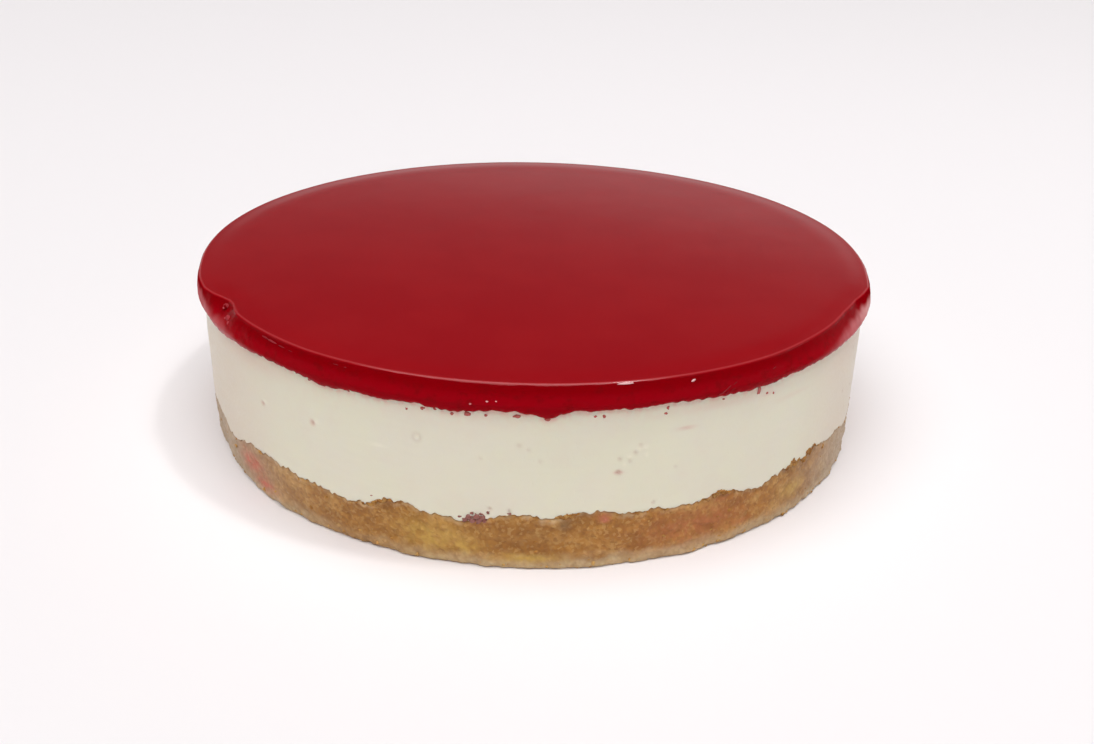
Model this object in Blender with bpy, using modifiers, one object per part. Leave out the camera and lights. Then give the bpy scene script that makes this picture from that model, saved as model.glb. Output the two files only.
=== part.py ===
"""A round no-bake yogurt cake: pressed biscuit base, yogurt mousse and a red fruit jelly on top.

Metres, +Z up. The origin is the centre of the flat underside, and the side that faces the
viewer is -Y. Each layer is a turned profile whose points are then moved a little, the way
crumbs, scrapes and runs of jelly leave a real cake uneven.
"""

import math
import random

import bmesh
import bpy
from mathutils import Vector, noise

MM = 0.001

# Driving dimensions
RIM_RADIUS = 100.0 * MM  # top edge of the jelly, from a 20 cm cake ring
BASE_TOP = 14.9 * MM  # mean height of the line between base and mousse
MOUSSE_TOP = 46.0 * MM
CAKE_TOP = 51.9 * MM

# Radii worked out from the rim
JELLY_RADIUS = RIM_RADIUS + 1.6 * MM
MOUSSE_RADIUS = RIM_RADIUS - 0.1 * MM
BASE_RADIUS = RIM_RADIUS - 0.2 * MM
LINE_RADIUS = BASE_RADIUS - 0.5 * MM  # where the line between base and mousse meets the side

LAYER_GAP = 0.3 * MM  # clearance between two layers
STEPS = 180  # facets round the cake
TINY = 0.001 * MM

# Shares of the base's radius between which the hidden layer line turns from flat to wavy
WAVE_START = 0.86
WAVE_MIDDLE = 0.95

# The jelly's skirt hangs over the mousse, clear of its side
SKIRT_INNER_RADIUS = MOUSSE_RADIUS + 0.45 * MM
SKIRT_MEAN = 1.1 * MM
SKIRT_LEAST = 0.4 * MM
SKIRT_MOST = 3.6 * MM

# Runs of jelly below its lower edge on the near side: azimuth, length in mm, half width (degrees)
JELLY_RUNS = (
    (-145.0, 0.6, 5.0),
    (-130.0, -0.8, 5.0),
    (-120.5, 0.8, 2.2),
    (-111.5, 0.7, 2.2),
    (-101.0, 1.0, 5.0),
    (-88.0, 2.0, 2.2),
    (-71.0, -0.6, 5.0),
    (-54.0, 0.5, 2.2),
)

# Heaps and hollows of crumbs in the base's top line on the near side: azimuth, height in mm, half width
BASE_HEAPS = (
    (-147.0, -2.8, 4.5),
    (-128.0, -1.0, 5.0),
    (-117.0, -1.9, 5.0),
    (-110.0, 1.6, 3.2),
    (-100.0, -1.2, 4.0),
    (-92.0, 1.3, 3.2),
    (-82.0, 1.9, 4.2),
    (-71.0, 0.7, 4.5),
    (-61.5, 1.4, 3.0),
    (-54.0, -1.3, 2.6),
    (-47.0, 1.0, 2.6),
    (-39.0, 2.2, 2.6),
    (-23.0, -2.4, 5.0),
)

# Stretches where crumbs have worn off the foot: azimuth, depth in mm, half width
FOOT_WEAR = ((-152.0, 1.2, 14.0), (-118.0, 1.0, 14.0), (25.0, 0.8, 20.0), (110.0, 1.1, 16.0))

# The far side's features are drawn by a rule between these azimuths, with heights in mm taken in turn
FAR_SIDE = (0.0, 180.0)
FAR_HEAP_HEIGHTS = (1.5, -1.3)
FAR_RUN_LENGTHS = (1.4, -0.4, 0.6)

COLOURS = {
    "biscuit_base": ((0.36, 0.18, 0.075), 0.85),
    "yogurt_mousse": ((0.72, 0.66, 0.53), 0.5),
    "red_jelly": ((0.27, 0.008, 0.012), 0.08),
}


def clear_scene():
    for found in list(bpy.data.objects):
        bpy.data.objects.remove(found, do_unlink=True)


def smooth_step(low, high, value):
    share = min(max((value - low) / (high - low), 0.0), 1.0)
    return share * share * (3.0 - 2.0 * share)


def ring_noise(angle, height, scale, seed):
    """Noise that closes on itself round the cake, from -1 to 1; scale is its bump size in metres."""
    place = Vector((math.cos(angle) * RIM_RADIUS, math.sin(angle) * RIM_RADIUS, height)) / scale
    return noise.noise(place + Vector((seed, seed * 1.7, seed * 0.3)))


def far_side(seed, count, heights):
    """Features spread round the far side, each near its even place, in size and in width."""
    draw = random.Random(seed)
    features = []
    for index in range(count):
        share = (index + draw.uniform(0.2, 0.8)) / count
        azimuth = FAR_SIDE[0] + (FAR_SIDE[1] - FAR_SIDE[0]) * share
        height = heights[index % len(heights)] * draw.uniform(0.7, 1.2)
        features.append((azimuth, height, draw.uniform(2.4, 4.8)))
    return tuple(features)


def bumps(angle, features):
    """The sum in metres of rounded bumps, each given as azimuth, height in mm and half width."""
    total = 0.0
    for azimuth, height, half_width in features:
        apart = (math.degrees(angle) - azimuth + 180.0) % 360.0 - 180.0
        total += height * MM * math.exp(-((apart / half_width) ** 2))
    return total


ALL_HEAPS = BASE_HEAPS + far_side(4, 12, FAR_HEAP_HEIGHTS)
ALL_RUNS = JELLY_RUNS + far_side(9, 9, FAR_RUN_LENGTHS)


def base_line(angle):
    """Height of the base's top edge at the cake's side."""
    crumbs = 0.4 * MM * ring_noise(angle, 0.0, 9.0 * MM, 3.0)
    crumbs += 0.5 * MM * ring_noise(angle, 0.0, 4.5 * MM, 8.0)
    return BASE_TOP + crumbs + bumps(angle, ALL_HEAPS)


def inner_line(radius, angle):
    """Height of the surface between base and mousse: flat inside, wavy near the side."""
    wavy = smooth_step(WAVE_START, 1.0, radius / BASE_RADIUS)
    return BASE_TOP + (base_line(angle) - BASE_TOP) * wavy


def skirt_length(angle):
    """How far the jelly hangs down over the mousse."""
    wander = 0.3 * MM * ring_noise(angle, 0.0, 22.0 * MM, 5.0)
    wander += 0.3 * MM * ring_noise(angle, 0.0, 6.0 * MM, 11.0)
    return min(max(SKIRT_MEAN + wander + bumps(angle, ALL_RUNS), SKIRT_LEAST), SKIRT_MOST)


def turned(name, profile):
    """A mesh made by turning a profile of (radius, height) points, top to bottom down its outer side."""
    outline = bpy.data.meshes.new(name + "_profile")
    points = [(radius, 0.0, height) for radius, height in profile]
    outline.from_pydata(points, [(i, i + 1) for i in range(len(points) - 1)], [])
    blank = bpy.data.objects.new(name + "_profile", outline)
    bpy.context.collection.objects.link(blank)
    screw = blank.modifiers.new("turn", "SCREW")
    screw.axis = "Z"
    screw.steps = STEPS
    screw.render_steps = STEPS
    screw.use_merge_vertices = True
    screw.merge_threshold = 0.02 * MM
    graph = bpy.context.evaluated_depsgraph_get()
    mesh = bpy.data.meshes.new_from_object(blank.evaluated_get(graph))
    mesh.name = name
    bpy.data.objects.remove(blank, do_unlink=True)
    return mesh


def add_layer(name, profile, relief, collection):
    """One layer: its turned profile, with relief(radius, angle, height) giving each point's new place."""
    mesh = turned(name, profile)
    for vertex in mesh.vertices:
        x, y, z = vertex.co
        angle = math.atan2(y, x)
        radius, height = relief(math.hypot(x, y), angle, z)
        vertex.co = (radius * math.cos(angle), radius * math.sin(angle), height)
    layer = bmesh.new()
    layer.from_mesh(mesh)
    bmesh.ops.recalc_face_normals(layer, faces=layer.faces)
    # Short diagonals split both sides of a wavy layer line alike, so the gap stays open
    bmesh.ops.triangulate(layer, faces=layer.faces, quad_method="SHORT_EDGE")
    layer.to_mesh(mesh)
    layer.free()
    mesh.shade_smooth()
    mesh.set_sharp_from_angle(angle=math.radians(40.0))
    made = bpy.data.objects.new(name, mesh)
    collection.objects.link(made)
    colour, roughness = COLOURS[name]
    made.data.materials.append(plain_material(name, colour, roughness))
    return made


def plain_material(name, colour, roughness):
    material = bpy.data.materials.new(name)
    material.use_nodes = True
    shader = material.node_tree.nodes["Principled BSDF"]
    shader.inputs["Base Color"].default_value = (*colour, 1.0)
    shader.inputs["Roughness"].default_value = roughness
    shader.inputs["Metallic"].default_value = 0.0
    return material


def arc(centre, radius, start, end, count):
    """Points of an arc in the profile's plane; angles in degrees, 0 outwards and 90 up."""
    turns = [math.radians(start + (end - start) * i / (count - 1)) for i in range(count)]
    return [(centre[0] + radius * math.cos(t), centre[1] + radius * math.sin(t)) for t in turns]


def layer_line():
    """The profile's points along the line between base and mousse, from the axis outwards."""
    radii = (0.0, BASE_RADIUS * WAVE_START, BASE_RADIUS * WAVE_MIDDLE, LINE_RADIUS)
    return [(radius, BASE_TOP) for radius in radii]


def biscuit_base(collection):
    """Pressed biscuit crumbs: a flat foot, a craggy side and a wavy top edge."""
    side_rings = 8
    top_ring = 0.35  # how far below the top edge the first ring lies, in ring spacings
    foot_ring = 1.4 * MM
    chamfer_height = 0.5 * MM
    chamfer_width = 1.2 * MM
    coarse_crags = 0.56 * MM
    fine_crags = 0.41 * MM
    profile = layer_line()
    rise = BASE_TOP - foot_ring
    for ring in range(side_rings):
        profile.append((BASE_RADIUS, BASE_TOP - rise * (ring + top_ring) / side_rings))
    profile.append((BASE_RADIUS - 0.2 * MM, chamfer_height))
    profile.append((BASE_RADIUS - chamfer_width, 0.0))
    profile.append((0.0, 0.0))

    def relief(radius, angle, height):
        if height >= BASE_TOP - TINY:
            return radius, inner_line(radius, angle) - LAYER_GAP / 2
        worn = 1.0 - bumps(angle, FOOT_WEAR) * (1.0 - height / BASE_TOP) / BASE_RADIUS
        if height <= TINY:
            return radius * worn, 0.0
        stretch = (base_line(angle) - LAYER_GAP / 2) / BASE_TOP
        crags = coarse_crags * ring_noise(angle, height, 7.0 * MM, 2.0)
        crags += fine_crags * ring_noise(angle, height, 3.2 * MM, 6.0)
        return radius * worn + crags, height * stretch

    return add_layer("biscuit_base", profile, relief, collection)


def yogurt_mousse(collection):
    """Set yogurt mousse: a smooth side with faint swells, its foot following the crumbs."""
    side_rings = 5
    edge = 0.8 * MM
    swell_depth = 0.25 * MM
    profile = [(0.0, MOUSSE_TOP), (MOUSSE_RADIUS - edge, MOUSSE_TOP), (MOUSSE_RADIUS, MOUSSE_TOP - edge)]
    rise = MOUSSE_TOP - BASE_TOP
    for ring in range(1, side_rings):
        profile.append((MOUSSE_RADIUS, MOUSSE_TOP - rise * ring / side_rings))
    profile.append((MOUSSE_RADIUS, BASE_TOP + edge))
    profile += reversed(layer_line())

    def relief(radius, angle, height):
        if height >= MOUSSE_TOP - TINY:
            return radius, MOUSSE_TOP - LAYER_GAP / 2
        if height <= BASE_TOP + TINY:
            return radius, inner_line(radius, angle) + LAYER_GAP / 2
        down = (MOUSSE_TOP - height) / rise
        lowered = height + (base_line(angle) - BASE_TOP) * smooth_step(0.0, 1.0, down)
        swell = swell_depth * ring_noise(angle, height, 26.0 * MM, 4.0)
        return radius + swell * math.sin(math.pi * down), lowered

    return add_layer("yogurt_mousse", profile, relief, collection)


def red_jelly(collection):
    """The jelly: a level top, a crisp rim and a side that flares over the mousse in an uneven skirt."""
    rim_round = 0.9 * MM
    dip = 0.25 * MM  # how far the top falls towards the rim
    skirt_foot = MOUSSE_TOP - 1.0 * MM  # the skirt's lower edge in the profile, before it turns uneven
    underside = MOUSSE_TOP + LAYER_GAP / 2
    skirt_top = MOUSSE_TOP + 0.6 * MM
    rim_centre = (RIM_RADIUS - rim_round, CAKE_TOP - dip - rim_round)
    profile = [(0.0, CAKE_TOP), (RIM_RADIUS * 0.93, CAKE_TOP), (RIM_RADIUS * 0.975, CAKE_TOP - dip * 0.5)]
    profile += arc(rim_centre, rim_round, 90.0, 15.0, 5)
    profile.append((RIM_RADIUS + 0.75 * MM, CAKE_TOP - 2.6 * MM))
    profile.append((RIM_RADIUS + 1.35 * MM, CAKE_TOP - 4.4 * MM))
    profile.append((JELLY_RADIUS, skirt_top))
    profile.append((JELLY_RADIUS - 0.35 * MM, MOUSSE_TOP - 0.4 * MM))
    profile.append((SKIRT_INNER_RADIUS + 0.5 * MM, skirt_foot + 0.05 * MM))
    profile.append((SKIRT_INNER_RADIUS, skirt_foot))
    profile.append((SKIRT_INNER_RADIUS, underside))
    profile.append((0.0, underside))

    def relief(radius, angle, height):
        on_underside = abs(height - underside) < TINY
        if height >= skirt_top - TINY or on_underside:
            return radius, height
        share = (skirt_top - height) / (skirt_top - skirt_foot)
        lowest = MOUSSE_TOP - skirt_length(angle)
        return radius, skirt_top - (skirt_top - lowest) * share

    return add_layer("red_jelly", profile, relief, collection)


def main():
    clear_scene()
    cake = bpy.data.collections.new("yogurt_cake")
    bpy.context.scene.collection.children.link(cake)
    biscuit_base(cake)
    yogurt_mousse(cake)
    red_jelly(cake)


main()
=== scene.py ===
"""The looks of a round yogurt cake: pressed crumbs, set mousse and glossy red jelly.

Metres, +Z up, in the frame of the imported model. Each layer is a fine turned grid whose outline is read
from the solid that it replaces, with crumbs, pinholes, scrapes and runs of jelly added as real relief.
"""

import math
import random

import bmesh
import bpy
import numpy as np
from mathutils import Matrix, Vector, noise


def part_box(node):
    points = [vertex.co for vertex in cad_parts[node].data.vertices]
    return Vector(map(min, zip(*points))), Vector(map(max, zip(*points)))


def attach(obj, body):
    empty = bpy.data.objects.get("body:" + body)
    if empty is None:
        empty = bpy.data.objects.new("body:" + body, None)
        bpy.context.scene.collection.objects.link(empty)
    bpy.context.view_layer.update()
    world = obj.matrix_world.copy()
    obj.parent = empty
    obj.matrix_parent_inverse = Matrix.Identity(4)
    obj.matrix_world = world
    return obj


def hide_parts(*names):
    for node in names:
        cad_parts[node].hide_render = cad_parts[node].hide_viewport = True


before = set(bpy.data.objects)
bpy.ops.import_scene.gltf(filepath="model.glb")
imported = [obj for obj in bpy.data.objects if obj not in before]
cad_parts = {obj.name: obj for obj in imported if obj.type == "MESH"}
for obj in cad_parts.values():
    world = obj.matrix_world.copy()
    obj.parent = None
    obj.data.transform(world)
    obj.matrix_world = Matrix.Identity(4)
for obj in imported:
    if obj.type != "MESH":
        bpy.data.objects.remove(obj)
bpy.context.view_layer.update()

MM = 0.001

# The photograph's frame and the camera's place, fitted to the cake's outline
IMAGE_WIDTH = 1094.0
FOCAL_PIXELS = 1123.2
CAMERA_DISTANCE = 360.0 * MM
CAMERA_ELEVATION = math.radians(22.52)
LOOK_DOWN = math.radians(25.14)
LOOK_ASIDE = math.radians(0.764)
CAMERA_ROLL = math.radians(1.459)
TARGET_HEIGHT = 26.15 * MM
SENSOR_WIDTH = 36.0

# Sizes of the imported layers
FACETS = 180
LAYER_GAP = 0.3 * MM
CAKE_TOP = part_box("red_jelly")[1].z
JELLY_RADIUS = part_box("red_jelly")[1].x
MOUSSE_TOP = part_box("yogurt_mousse")[1].z + LAYER_GAP / 2
MOUSSE_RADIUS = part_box("yogurt_mousse")[1].x
RIM_RADIUS = JELLY_RADIUS - 1.6 * MM

# Each layer ends this far short of the line that it shares with the next, at the side and further in
SEAM = 0.02 * MM
INNER_SEAM = 0.05 * MM

COLUMNS = 1320  # grid columns round the cake, about half a millimetre apart
ANGLES = np.arange(COLUMNS) * 2.0 * math.pi / COLUMNS
DEGREES = np.degrees(ANGLES)


def smooth_step(low, high, value):
    share = np.clip((value - low) / (high - low), 0.0, 1.0)
    return share * share * (3.0 - 2.0 * share)


def in_metres(rows, *columns):
    """A table's rows with the given columns turned from millimetres into metres."""
    return [tuple(v * MM if i in columns else v for i, v in enumerate(row)) for row in rows]


def turn_apart(degrees, azimuth):
    """Signed angle from azimuth, from -180 to 180 degrees."""
    return (degrees - azimuth + 180.0) % 360.0 - 180.0


def place_on_side(azimuth, height, radius):
    angle = math.radians(azimuth)
    return Vector((radius * math.cos(angle), radius * math.sin(angle), height))


def ring_noise(height, scale, seed):
    """One value of noise for each column, closed round the cake."""
    shift = Vector((seed, seed * 1.7, seed * 0.3))
    values = []
    for angle in ANGLES:
        place = Vector((math.cos(angle) * RIM_RADIUS, math.sin(angle) * RIM_RADIUS, height)) / scale
        values.append(noise.noise(place + shift))
    return np.array(values)


def grid_noise(radii, heights, scale, seed):
    """Noise for each point of a grid; scale is the bump size along x and y and along z."""
    xs = radii * np.cos(ANGLES) / scale[0] + seed
    ys = radii * np.sin(ANGLES) / scale[0] + seed * 1.7
    zs = heights / scale[1] + seed * 0.3
    flat = [noise.noise(Vector(place)) for place in zip(xs.ravel(), ys.ravel(), zs.ravel())]
    return np.array(flat).reshape(radii.shape)


def smooth_ring(values):
    """Values given at the solid's facets, as a smooth closed curve read at each column."""
    place = ANGLES / (2.0 * math.pi) * FACETS
    first = np.floor(place).astype(int)
    share = place - first
    before, here, after, beyond = (values[(first + step) % FACETS] for step in (-1, 0, 1, 2))
    curve = 2.0 * here + (after - before) * share
    curve = curve + (2.0 * before - 5.0 * here + 4.0 * after - beyond) * share**2
    curve = curve + (3.0 * here - before - 3.0 * after + beyond) * share**3
    return curve / 2.0


def side_points(node, least_radius):
    """The (height, radius) points of a solid's side at each of its facets, from the lowest up."""
    columns = [set() for _ in range(FACETS)]
    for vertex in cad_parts[node].data.vertices:
        radius = math.hypot(vertex.co.x, vertex.co.y)
        if radius > least_radius:
            facet = round(math.atan2(vertex.co.y, vertex.co.x) * FACETS / (2.0 * math.pi)) % FACETS
            columns[facet].add((round(vertex.co.z, 6), round(radius, 6)))
    return [np.array(sorted(points)) for points in columns]


def side_radii(columns, low, high, shares):
    """The solid's smooth outline: its radius at each share of the way from its low to its high line."""
    rows = []
    for share in shares:
        levels = low + (high - low) * share
        at_facets = [np.interp(level, column[:, 0], column[:, 1]) for column, level in zip(columns, levels)]
        rows.append(smooth_ring(np.array(at_facets)))
    return np.array(rows)


def turned_mesh(name, radii, heights, marks):
    """A closed mesh from a grid of rows, top centre to bottom centre; marks are its named point values."""
    rows = radii.shape[0]
    cos, sin = np.cos(ANGLES), np.sin(ANGLES)
    ring = np.stack([radii * cos, radii * sin, heights], -1).reshape(-1, 3)
    top = [0.0, 0.0, heights[0, 0]]
    bottom = [0.0, 0.0, heights[-1, 0]]
    points = np.vstack([ring, top, bottom])
    top_index, bottom_index = rows * COLUMNS, rows * COLUMNS + 1
    here = np.arange(COLUMNS)
    onward = (here + 1) % COLUMNS
    quads = []
    for row in range(rows - 1):
        upper, lower = row * COLUMNS, (row + 1) * COLUMNS
        quads.append(np.stack([upper + here, lower + here, lower + onward, upper + onward], -1))
    faces = np.vstack(quads).tolist()
    last = (rows - 1) * COLUMNS
    faces += [(top_index, c, n) for c, n in zip(here.tolist(), onward.tolist())]
    faces += [(last + c, bottom_index, last + n) for c, n in zip(here.tolist(), onward.tolist())]
    mesh = bpy.data.meshes.new(name)
    mesh.from_pydata(points.tolist(), [], faces)
    mesh.shade_smooth()
    for mark, values in marks.items():
        layer = mesh.attributes.new(mark, "FLOAT", "POINT")
        with_ends = np.append(values.ravel(), [values[0, 0], values[-1, 0]])
        layer.data.foreach_set("value", with_ends.astype(np.float32))
    piece = bpy.data.objects.new(name, mesh)
    bpy.context.scene.collection.objects.link(piece)
    return piece


def dress(piece, material, slot, *nodes):
    """Gives a piece its material, its body and the solids that it stands for."""
    piece.data.materials.append(material)
    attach(piece, "root")
    if nodes:
        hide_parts(*nodes)
    return piece


# The lines where layers meet, read from the solids

base_side = side_points("biscuit_base", 0.975 * RIM_RADIUS)
mousse_side = side_points("yogurt_mousse", 0.975 * RIM_RADIUS)
jelly_side = side_points("red_jelly", RIM_RADIUS)
base_tops = np.array([column[-1, 0] for column in base_side])
mousse_feet = np.array([column[0, 0] for column in mousse_side])
mousse_tops = np.array([column[-1, 0] for column in mousse_side])
jelly_feet = np.array([column[0, 0] for column in jelly_side])

ragged = 1.0 + 1.1 * np.exp(-((turn_apart(DEGREES, -43.0) / 7.0) ** 2))
crumb_jags = 0.75 * MM * ring_noise(0.0, 2.1 * MM, 31.0) + 0.70 * MM * ring_noise(0.0, 1.05 * MM, 47.0)
crumb_line = smooth_ring((base_tops + mousse_feet) / 2) + ragged * crumb_jags
skirt_jags = 0.32 * MM * ring_noise(0.0, 2.6 * MM, 53.0) + 0.38 * MM * ring_noise(0.0, 1.2 * MM, 59.0)
skirt_low = -0.75 * MM * np.exp(-((turn_apart(DEGREES, -122.0) / 11.0) ** 4))
skirt_low = skirt_low - 0.60 * MM * np.exp(-((turn_apart(DEGREES, -66.0) / 15.0) ** 4))
skirt_line = smooth_ring(jelly_feet) + skirt_low + skirt_jags


# Node helpers


def new_material(name):
    material = bpy.data.materials.new(name)
    material.use_nodes = True
    tree = material.node_tree
    return material, tree, tree.nodes["Principled BSDF"]


def put(tree, kind, settings=None, **inputs):
    """A new node; inputs are values or sockets, by name with underscores for spaces, or as i0, i1, i2."""
    made = tree.nodes.new(kind)
    for key, value in (settings or {}).items():
        setattr(made, key, value)
    for key, value in inputs.items():
        numbered = key[0] == "i" and key[1:].isdigit()
        socket = made.inputs[int(key[1:]) if numbered else key.replace("_", " ")]
        if isinstance(value, bpy.types.NodeSocket):
            tree.links.new(value, socket)
        else:
            socket.default_value = value
    return made


def worked_out(tree, operation, *values):
    """The result of one operation; values are sockets or numbers."""
    inputs = {f"i{index}": value for index, value in enumerate(values)}
    return put(tree, "ShaderNodeMath", {"operation": operation}, **inputs).outputs[0]


def scaled(tree, value, factor):
    return worked_out(tree, "MULTIPLY", value, factor)


def mark_of(tree, name):
    """The value that the mesh carries under a name."""
    return put(tree, "ShaderNodeAttribute", {"attribute_name": name}).outputs["Fac"]


def noise_of(tree, place, size, detail=3.0, roughness=0.5):
    """Noise with bumps of about size metres."""
    made = put(tree, "ShaderNodeTexNoise", Vector=place, Scale=1.0 / size, Detail=detail, Roughness=roughness)
    return made.outputs["Fac"]


def spread(tree, value, low, high, to_low=0.0, to_high=1.0):
    """A value between low and high, smoothly mapped onto another range."""
    made = put(tree, "ShaderNodeMapRange", {"interpolation_type": "SMOOTHSTEP"}, Value=value)
    for socket, number in zip(("From Min", "From Max", "To Min", "To Max"), (low, high, to_low, to_high)):
        made.inputs[socket].default_value = number
    return made.outputs["Result"]


def mix_colours(tree, share, first, second):
    """Blends two colours, given as sockets or as linear triples."""
    made = tree.nodes.new("ShaderNodeMix")
    made.data_type = "RGBA"
    for socket, value in ((made.inputs[0], share), (made.inputs[6], first), (made.inputs[7], second)):
        if isinstance(value, bpy.types.NodeSocket):
            tree.links.new(value, socket)
        elif isinstance(value, tuple):
            socket.default_value = (*value, 1.0)
        else:
            socket.default_value = value
    return made.outputs[2]


def bump(tree, height, strength, distance, normal=None):
    made = put(tree, "ShaderNodeBump", Height=height, Strength=strength, Distance=distance)
    if normal is not None:
        tree.links.new(normal, made.inputs["Normal"])
    return made.outputs["Normal"]


def own_place(tree):
    return put(tree, "ShaderNodeTexCoord").outputs["Object"]


# Biscuit base

# Coarse and fine crumbs: their size, the two parts of their relief in millimetres, and what picks their stand
CRUMB_SIZES = (2.7 * MM, 1.25 * MM)
CRACK_DEPTHS = (0.16, 0.10)
STAND_HEIGHTS = (0.20, 0.16)
STAND_PICKS = ((37.0, 23.0, 11.0), (31.0, 17.0, 13.0))
CRACK_SHARE = 0.30

# How far the cracks between crumbs waver, in crumb sizes, over what length, and the noise for each direction
WOBBLE = 0.25
WOBBLE_LENGTH = 1.6 * MM
WOBBLE_SHIFTS = (Vector((9.3, -1.5, -7.9)), Vector((1.4, 5.7, -2.2)), Vector((-6.2, 0.1, 2.7)))

PIT_DEPTH = 0.35 * MM
TOP_EDGE_BACK = 0.12 * MM
FOOT_EDGE_BACK = 0.08 * MM

# Stains on the base's side: kind, azimuth, height, half width in degrees, half height
BASE_STAINS = in_metres((
    ("yolk", -104.5, 7.5, 5.0, 4.5),
    ("yolk", -99.8, 6.0, 2.6, 2.6),
    ("yolk", -90.5, 3.4, 5.0, 1.4),
    ("yolk", -45.0, 8.0, 3.0, 2.4),
    ("yolk", 24.0, 7.0, 7.0, 3.2),
    ("yolk", 121.0, 5.0, 8.0, 2.6),
    ("berry", -140.8, 8.6, 3.4, 3.2),
    ("berry", -137.0, 4.2, 3.2, 2.2),
    ("rosy", -97.6, 13.9, 1.6, 1.4),
    ("rosy", -79.6, 15.4, 1.4, 0.9),
    ("rosy", -60.5, 14.2, 2.2, 1.2),
    ("rosy", -56.5, 5.5, 2.2, 1.2),
    ("rosy", -65.0, 8.5, 10.0, 5.5),
    ("berry", -79.6, 14.2, 0.8, 0.8),
    ("rosy", 20.0, 11.0, 8.0, 4.0),
    ("berry", 62.0, 9.0, 2.4, 2.0),
    ("pale", -154.0, 8.0, 20.0, 16.0),
    ("pale", -25.0, 8.0, 15.0, 16.0),
    ("pale", 75.0, 6.0, 12.0, 7.0),
    ("toast", -92.0, 10.8, 8.0, 3.6),
    ("toast", -84.5, 13.0, 2.6, 2.4),
    ("toast", -66.0, 8.6, 6.0, 2.6),
    ("toast", 5.0, 10.0, 9.0, 3.0),
    ("toast", 158.0, 8.0, 8.0, 3.0),
    ("char", -85.2, 13.2, 0.8, 1.6),
    ("char", -45.5, 16.4, 2.0, 1.6),
    ("char", -40.6, 16.6, 1.8, 1.6),
    ("char", -123.4, 14.6, 1.2, 0.7),
    ("char", 140.0, 12.0, 1.6, 1.4),
), 2, 4)


def spot(across, up):
    """A soft spot, 1 at its middle and fading outwards; both distances are in its half widths."""
    return np.exp(-(across**2) - up**2)


def stain(kind, heights):
    """How strongly one kind of stain covers each point of the base's side."""
    cover = np.zeros(heights.shape)
    for name, azimuth, height, half_width, half_height in BASE_STAINS:
        if name == kind:
            across = turn_apart(DEGREES, azimuth) / half_width
            cover = np.maximum(cover, spot(across, (heights - height) / half_height))
    return cover


def crumb_at(place, kind, wobble):
    """How far a place is from the crack round its crumb, from 0 to 1, and how far that crumb stands out."""
    distances, centres = noise.voronoi(place / CRUMB_SIZES[kind] + wobble)
    crack = min((distances[1] - distances[0]) / CRACK_SHARE, 1.0)
    picks, centre = STAND_PICKS[kind], centres[0]
    return crack, 0.5 + 0.5 * math.sin(picks[0] * centre.x + picks[1] * centre.y + picks[2] * centre.z)


def crumb_relief(radii, heights):
    """Relief of packed crumbs in metres, each place's own tone, and how deep it lies between crumbs, for
    painted shade there.
    """
    relief = np.zeros(radii.shape)
    stands = np.zeros(radii.shape)
    deep = np.zeros(radii.shape)
    cos, sin = np.cos(ANGLES), np.sin(ANGLES)
    for row in range(radii.shape[0]):
        for column in range(COLUMNS):
            radius, height = radii[row, column], heights[row, column]
            place = Vector((radius * cos[column], radius * sin[column], height))
            wavers = [noise.noise(place / WOBBLE_LENGTH + shift) for shift in WOBBLE_SHIFTS]
            wobble = Vector(wavers) * WOBBLE
            crack, stand = crumb_at(place, 0, wobble)
            fine_crack, fine_stand = crumb_at(place, 1, wobble)
            crumb = (crack - 0.8) * CRACK_DEPTHS[0] + (stand - 0.5) * STAND_HEIGHTS[0]
            fine_crumb = (fine_crack - 0.8) * CRACK_DEPTHS[1]
            relief[row, column] = crumb + fine_crumb + (fine_stand - 0.5) * STAND_HEIGHTS[1]
            stands[row, column] = 0.5 * stand + 0.5 * fine_stand
            # How deep a place lies between crumbs; the material paints shade there.
            deep[row, column] = 1.0 - 0.6 * crack - 0.4 * fine_crack
    broad = grid_noise(radii, heights, (8.0 * MM, 5.0 * MM), 83.0)
    middle = grid_noise(radii, heights, (3.2 * MM, 2.4 * MM), 89.0)
    small = grid_noise(radii, heights, (1.2 * MM, 1.0 * MM), 97.0)
    tone = 0.5 + 0.50 * broad + 0.22 * middle + 0.20 * small + 0.20 * (stands - 0.5)
    return relief * MM, tone, deep


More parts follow.
